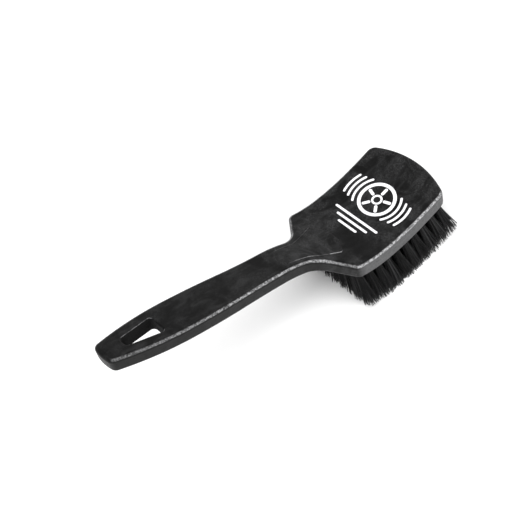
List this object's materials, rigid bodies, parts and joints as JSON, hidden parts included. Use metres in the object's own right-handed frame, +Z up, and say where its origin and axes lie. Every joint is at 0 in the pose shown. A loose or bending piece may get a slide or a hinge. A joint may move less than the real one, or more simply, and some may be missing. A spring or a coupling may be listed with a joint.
{
  "type": "wheel brush",
  "caption": "Hand brush for wheels and tyres: flat moulded handle with a hang hole, cranked neck, and a curved rectangular block tufted underneath with stiff dark bristle.",
  "frame": {"origin": "middle of the overall length and width, level with the lowest bristle tips", "axes": "+X from the handle end towards the head, +Y across the brush, +Z up, away from the bristle tips"},
  "size_m": [0.2458, 0.0682, 0.1092],
  "materials": {
    "moulded_plastic": "satin black moulded plastic, faintly mottled",
    "bristle": "black extruded filament",
    "anchor_wire": "drawn flat wire",
    "ink": "white printed ink film"
  },
  "bodies": {
    "root": {"brush_body": "moulded_plastic", "printed_emblem": "ink", "bristle_row_01": "bristle", "bristle_row_02": "bristle", "bristle_row_03": "bristle", "bristle_row_04": "bristle", "bristle_row_05": "bristle", "bristle_row_06": "bristle", "bristle_row_07": "bristle", "bristle_row_08": "bristle", "bristle_row_09": "bristle", "bristle_row_10": "bristle", "bristle_row_11": "bristle", "tuft_anchors_row_01": "anchor_wire", "tuft_anchors_row_02": "anchor_wire", "tuft_anchors_row_03": "anchor_wire", "tuft_anchors_row_04": "anchor_wire", "tuft_anchors_row_05": "anchor_wire", "tuft_anchors_row_06": "anchor_wire", "tuft_anchors_row_07": "anchor_wire", "tuft_anchors_row_08": "anchor_wire", "tuft_anchors_row_09": "anchor_wire", "tuft_anchors_row_10": "anchor_wire", "tuft_anchors_row_11": "anchor_wire"}
  },
  "joints": []
}
